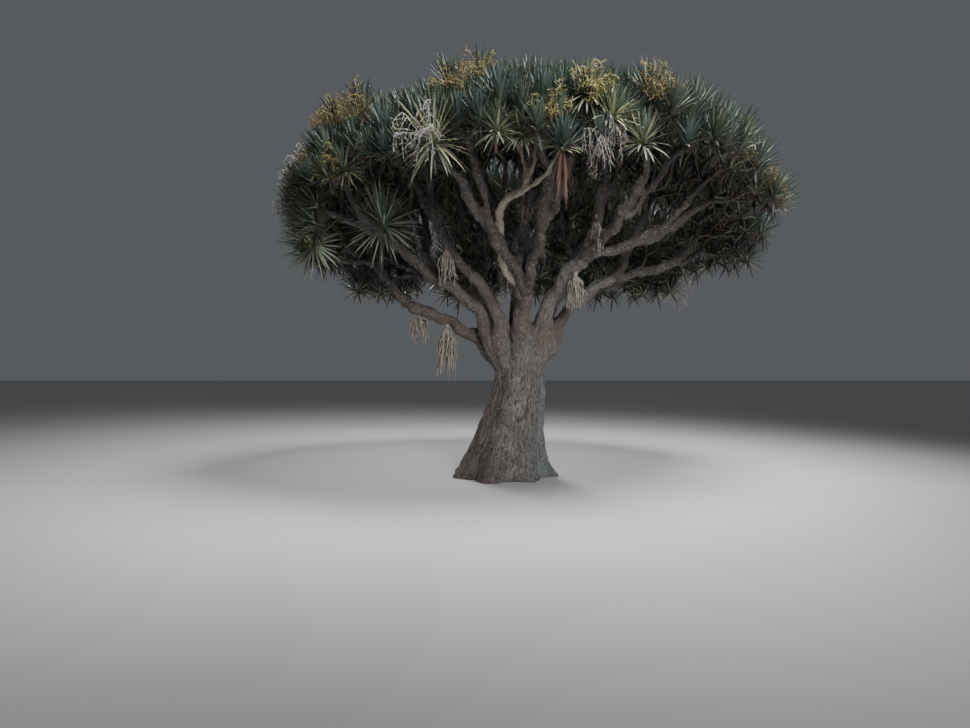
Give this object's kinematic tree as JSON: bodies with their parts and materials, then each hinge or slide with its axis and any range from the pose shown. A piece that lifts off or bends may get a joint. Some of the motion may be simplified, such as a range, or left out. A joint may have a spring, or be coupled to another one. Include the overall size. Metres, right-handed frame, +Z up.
{
  "type": "dragon blood tree",
  "caption": "Old dragon blood tree with a stout leaning trunk, forking boughs, hanging aerial roots and an umbrella crown of sword-leaved rosettes.",
  "frame": {"origin": "middle of the trunk's flat cut at ground level", "axes": "+Z up along the trunk, -Y towards the pictured side, +X towards the side the trunk leans to"},
  "size_m": [7.2164, 7.1142, 5.2934],
  "materials": {
    "trunk bark": "matte",
    "branch bark": "matte",
    "aerial root": "matte",
    "foliage": "satin"
  },
  "bodies": {
    "root": {"aerial_roots_1": "aerial root", "aerial_roots_2": "aerial root", "aerial_roots_3": "aerial root", "aerial_roots_4": "aerial root", "aerial_roots_5": "aerial root", "aerial_roots_6": "aerial root", "aerial_roots_7": "aerial root", "aerial_roots_8": "aerial root", "bough_back_left": "branch bark", "bough_back_right": "branch bark", "bough_centre": "branch bark", "bough_front": "branch bark", "bough_front_left": "branch bark", "bough_left": "branch bark", "bough_left_low": "branch bark", "bough_right_front": "branch bark", "bough_right_low": "branch bark", "foliage_mid_01": "foliage", "foliage_mid_02": "foliage", "foliage_mid_03": "foliage", "foliage_mid_04": "foliage", "foliage_mid_05": "foliage", "foliage_mid_06": "foliage", "foliage_mid_07": "foliage", "foliage_rim_01": "foliage", "foliage_rim_02": "foliage", "foliage_rim_03": "foliage", "foliage_rim_04": "foliage", "foliage_rim_05": "foliage", "foliage_rim_06": "foliage", "foliage_rim_07": "foliage", "foliage_rim_08": "foliage", "foliage_rim_09": "foliage", "foliage_rim_10": "foliage", "foliage_rim_11": "foliage", "foliage_top_01": "foliage", "foliage_top_02": "foliage", "foliage_top_03": "foliage", "limb_mid_01": "branch bark", "limb_mid_02": "branch bark", "limb_mid_03": "branch bark", "limb_mid_04": "branch bark", "limb_mid_05": "branch bark", "limb_mid_06": "branch bark", "limb_mid_07": "branch bark", "limb_rim_01": "branch bark", "limb_rim_02": "branch bark", "limb_rim_03": "branch bark", "limb_rim_04": "branch bark", "limb_rim_05": "branch bark", "limb_rim_06": "branch bark", "limb_rim_07": "branch bark", "limb_rim_08": "branch bark", "limb_rim_09": "branch bark", "limb_rim_10": "branch bark", "limb_rim_11": "branch bark", "limb_top_01": "branch bark", "limb_top_02": "branch bark", "limb_top_03": "branch bark", "trunk": "trunk bark"}
  },
  "joints": []
}
